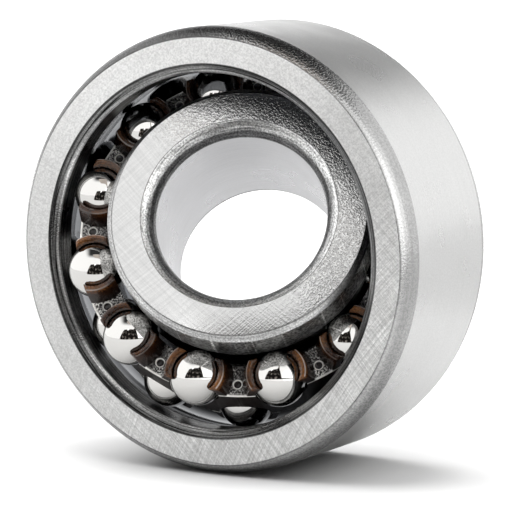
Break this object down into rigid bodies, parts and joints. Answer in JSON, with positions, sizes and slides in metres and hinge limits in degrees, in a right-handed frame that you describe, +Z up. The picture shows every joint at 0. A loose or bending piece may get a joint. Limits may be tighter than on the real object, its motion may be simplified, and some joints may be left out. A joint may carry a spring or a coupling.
{
  "type": "self-aligning ball bearing",
  "caption": "Double-row self-aligning ball bearing with a cylindrical bore, its inner ring, snap cage and balls swivelled out of the spherical outer raceway.",
  "frame": {"origin": "the bearing's centre: the middle of the outer ring's axis, and the centre of the spherical raceway about which the inner ring, cage and balls swivel", "axes": "Y along the outer ring's axis with the front face toward -Y; +Z up; the inner ring's own axis leans 32.6 degrees from -Y toward +X and +Z"},
  "size_m": [0.052, 0.0336, 0.052],
  "materials": {
    "ring_steel": "ground",
    "ball_steel": "polished",
    "cage_polyamide": "glossy"
  },
  "bodies": {
    "outer_ring": {"outer_ring": "ring_steel"},
    "cage": {"cage": "cage_polyamide"},
    "inner_ring": {"inner_ring": "ring_steel"},
    "ball_front_01": {"ball_front_01": "ball_steel"},
    "ball_front_02": {"ball_front_02": "ball_steel"},
    "ball_front_03": {"ball_front_03": "ball_steel"},
    "ball_front_04": {"ball_front_04": "ball_steel"},
    "ball_front_05": {"ball_front_05": "ball_steel"},
    "ball_front_06": {"ball_front_06": "ball_steel"},
    "ball_front_07": {"ball_front_07": "ball_steel"},
    "ball_front_08": {"ball_front_08": "ball_steel"},
    "ball_front_09": {"ball_front_09": "ball_steel"},
    "ball_front_10": {"ball_front_10": "ball_steel"},
    "ball_front_11": {"ball_front_11": "ball_steel"},
    "ball_front_12": {"ball_front_12": "ball_steel"},
    "ball_rear_01": {"ball_rear_01": "ball_steel"},
    "ball_rear_02": {"ball_rear_02": "ball_steel"},
    "ball_rear_03": {"ball_rear_03": "ball_steel"},
    "ball_rear_04": {"ball_rear_04": "ball_steel"},
    "ball_rear_05": {"ball_rear_05": "ball_steel"},
    "ball_rear_06": {"ball_rear_06": "ball_steel"},
    "ball_rear_07": {"ball_rear_07": "ball_steel"},
    "ball_rear_08": {"ball_rear_08": "ball_steel"},
    "ball_rear_09": {"ball_rear_09": "ball_steel"},
    "ball_rear_10": {"ball_rear_10": "ball_steel"},
    "ball_rear_11": {"ball_rear_11": "ball_steel"},
    "ball_rear_12": {"ball_rear_12": "ball_steel"}
  },
  "joints": [
    {"name": "swivel", "type": "hinge", "parent": "outer_ring", "child": "cage", "pos_m": [0, 0, 0], "axis": [-0.8261, 0, 0.5635], "range_deg": [-65.2, 0]},
    {"name": "inner_spin", "type": "hinge", "parent": "cage", "child": "inner_ring", "pos_m": [0, 0, 0], "axis": [0.3036, -0.8425, 0.4451], "continuous": true},
    {"name": "roll_front_01", "type": "hinge", "parent": "cage", "child": "ball_front_01", "pos_m": [-0.01633, -0.00697, 0.00559], "axis": [0.4718, -0.7873, 0.3969], "continuous": true},
    {"name": "roll_front_02", "type": "hinge", "parent": "cage", "child": "ball_front_02", "pos_m": [-0.01481, -0.0109, -0.00289], "axis": [0.4566, -0.7481, 0.4816], "continuous": true},
    {"name": "roll_front_03", "type": "hinge", "parent": "cage", "child": "ball_front_03", "pos_m": [-0.00904, -0.01268, -0.0102], "axis": [0.399, -0.7303, 0.5545], "continuous": true},
    {"name": "roll_front_04", "type": "hinge", "parent": "cage", "child": "ball_front_04", "pos_m": [-0.00057, -0.01183, -0.01436], "axis": [0.3145, -0.7388, 0.596], "continuous": true},
    {"name": "roll_front_05", "type": "hinge", "parent": "cage", "child": "ball_front_05", "pos_m": [0.00832, -0.00858, -0.01427], "axis": [0.2257, -0.7713, 0.5951], "continuous": true},
    {"name": "roll_front_06", "type": "hinge", "parent": "cage", "child": "ball_front_06", "pos_m": [0.01527, -0.00379, -0.00995], "axis": [0.1564, -0.819, 0.552], "continuous": true},
    {"name": "roll_front_07", "type": "hinge", "parent": "cage", "child": "ball_front_07", "pos_m": [0.01839, 0.00124, -0.00256], "axis": [0.1252, -0.8692, 0.4783], "continuous": true},
    {"name": "roll_front_08", "type": "hinge", "parent": "cage", "child": "ball_front_08", "pos_m": [0.01687, 0.00517, 0.00592], "axis": [0.1404, -0.9085, 0.3936], "continuous": true},
    {"name": "roll_front_09", "type": "hinge", "parent": "cage", "child": "ball_front_09", "pos_m": [0.0111, 0.00695, 0.01322], "axis": [0.198, -0.9263, 0.3207], "continuous": true},
    {"name": "roll_front_10", "type": "hinge", "parent": "cage", "child": "ball_front_10", "pos_m": [0.00264, 0.0061, 0.01739], "axis": [0.2825, -0.9178, 0.2792], "continuous": true},
    {"name": "roll_front_11", "type": "hinge", "parent": "cage", "child": "ball_front_11", "pos_m": [-0.00626, 0.00285, 0.0173], "axis": [0.3713, -0.8853, 0.28], "continuous": true},
    {"name": "roll_front_12", "type": "hinge", "parent": "cage", "child": "ball_front_12", "pos_m": [-0.0132, -0.00194, 0.01298], "axis": [0.4406, -0.8375, 0.3231], "continuous": true},
    {"name": "roll_rear_01", "type": "hinge", "parent": "cage", "child": "ball_rear_01", "pos_m": [-0.01739, 0.00122, 0.00653], "axis": [0.1353, -0.8447, 0.5179], "continuous": true},
    {"name": "roll_rear_02", "type": "hinge", "parent": "cage", "child": "ball_rear_02", "pos_m": [-0.01822, -0.00342, -0.00169], "axis": [0.127, -0.891, 0.4359], "continuous": true},
    {"name": "roll_rear_03", "type": "hinge", "parent": "cage", "child": "ball_rear_03", "pos_m": [-0.01444, -0.00638, -0.00986], "axis": [0.1646, -0.9205, 0.3543], "continuous": true},
    {"name": "roll_rear_04", "type": "hinge", "parent": "cage", "child": "ball_rear_04", "pos_m": [-0.00708, -0.00686, -0.01579], "axis": [0.2382, -0.9253, 0.2951], "continuous": true},
    {"name": "roll_rear_05", "type": "hinge", "parent": "cage", "child": "ball_rear_05", "pos_m": [0.00191, -0.00473, -0.0179], "axis": [0.3279, -0.9041, 0.274], "continuous": true},
    {"name": "roll_rear_06", "type": "hinge", "parent": "cage", "child": "ball_rear_06", "pos_m": [0.01011, -0.00057, -0.01562], "axis": [0.4097, -0.8626, 0.2968], "continuous": true},
    {"name": "roll_rear_07", "type": "hinge", "parent": "cage", "child": "ball_rear_07", "pos_m": [0.01532, 0.00451, -0.00956], "axis": [0.4618, -0.8119, 0.3573], "continuous": true},
    {"name": "roll_rear_08", "type": "hinge", "parent": "cage", "child": "ball_rear_08", "pos_m": [0.01615, 0.00915, -0.00134], "axis": [0.4701, -0.7655, 0.4393], "continuous": true},
    {"name": "roll_rear_09", "type": "hinge", "parent": "cage", "child": "ball_rear_09", "pos_m": [0.01238, 0.01211, 0.00683], "axis": [0.4324, -0.736, 0.5209], "continuous": true},
    {"name": "roll_rear_10", "type": "hinge", "parent": "cage", "child": "ball_rear_10", "pos_m": [0.00501, 0.01259, 0.01276], "axis": [0.3588, -0.7312, 0.5801], "continuous": true},
    {"name": "roll_rear_11", "type": "hinge", "parent": "cage", "child": "ball_rear_11", "pos_m": [-0.00397, 0.01046, 0.01487], "axis": [0.2691, -0.7524, 0.6012], "continuous": true},
    {"name": "roll_rear_12", "type": "hinge", "parent": "cage", "child": "ball_rear_12", "pos_m": [-0.01217, 0.0063, 0.01259], "axis": [0.1873, -0.794, 0.5784], "continuous": true}
  ],
  "couplings": [
    {"joint": "roll_front_01", "follows": "inner_spin", "ratio": -4.6476},
    {"joint": "roll_front_02", "follows": "inner_spin", "ratio": -4.6476},
    {"joint": "roll_front_03", "follows": "inner_spin", "ratio": -4.6476},
    {"joint": "roll_front_04", "follows": "inner_spin", "ratio": -4.6476},
    {"joint": "roll_front_05", "follows": "inner_spin", "ratio": -4.6476},
    {"joint": "roll_front_06", "follows": "inner_spin", "ratio": -4.6476},
    {"joint": "roll_front_07", "follows": "inner_spin", "ratio": -4.6476},
    {"joint": "roll_front_08", "follows": "inner_spin", "ratio": -4.6476},
    {"joint": "roll_front_09", "follows": "inner_spin", "ratio": -4.6476},
    {"joint": "roll_front_10", "follows": "inner_spin", "ratio": -4.6476},
    {"joint": "roll_front_11", "follows": "inner_spin", "ratio": -4.6476},
    {"joint": "roll_front_12", "follows": "inner_spin", "ratio": -4.6476},
    {"joint": "roll_rear_01", "follows": "inner_spin", "ratio": -4.6476},
    {"joint": "roll_rear_02", "follows": "inner_spin", "ratio": -4.6476},
    {"joint": "roll_rear_03", "follows": "inner_spin", "ratio": -4.6476},
    {"joint": "roll_rear_04", "follows": "inner_spin", "ratio": -4.6476},
    {"joint": "roll_rear_05", "follows": "inner_spin", "ratio": -4.6476},
    {"joint": "roll_rear_06", "follows": "inner_spin", "ratio": -4.6476},
    {"joint": "roll_rear_07", "follows": "inner_spin", "ratio": -4.6476},
    {"joint": "roll_rear_08", "follows": "inner_spin", "ratio": -4.6476},
    {"joint": "roll_rear_09", "follows": "inner_spin", "ratio": -4.6476},
    {"joint": "roll_rear_10", "follows": "inner_spin", "ratio": -4.6476},
    {"joint": "roll_rear_11", "follows": "inner_spin", "ratio": -4.6476},
    {"joint": "roll_rear_12", "follows": "inner_spin", "ratio": -4.6476}
  ]
}
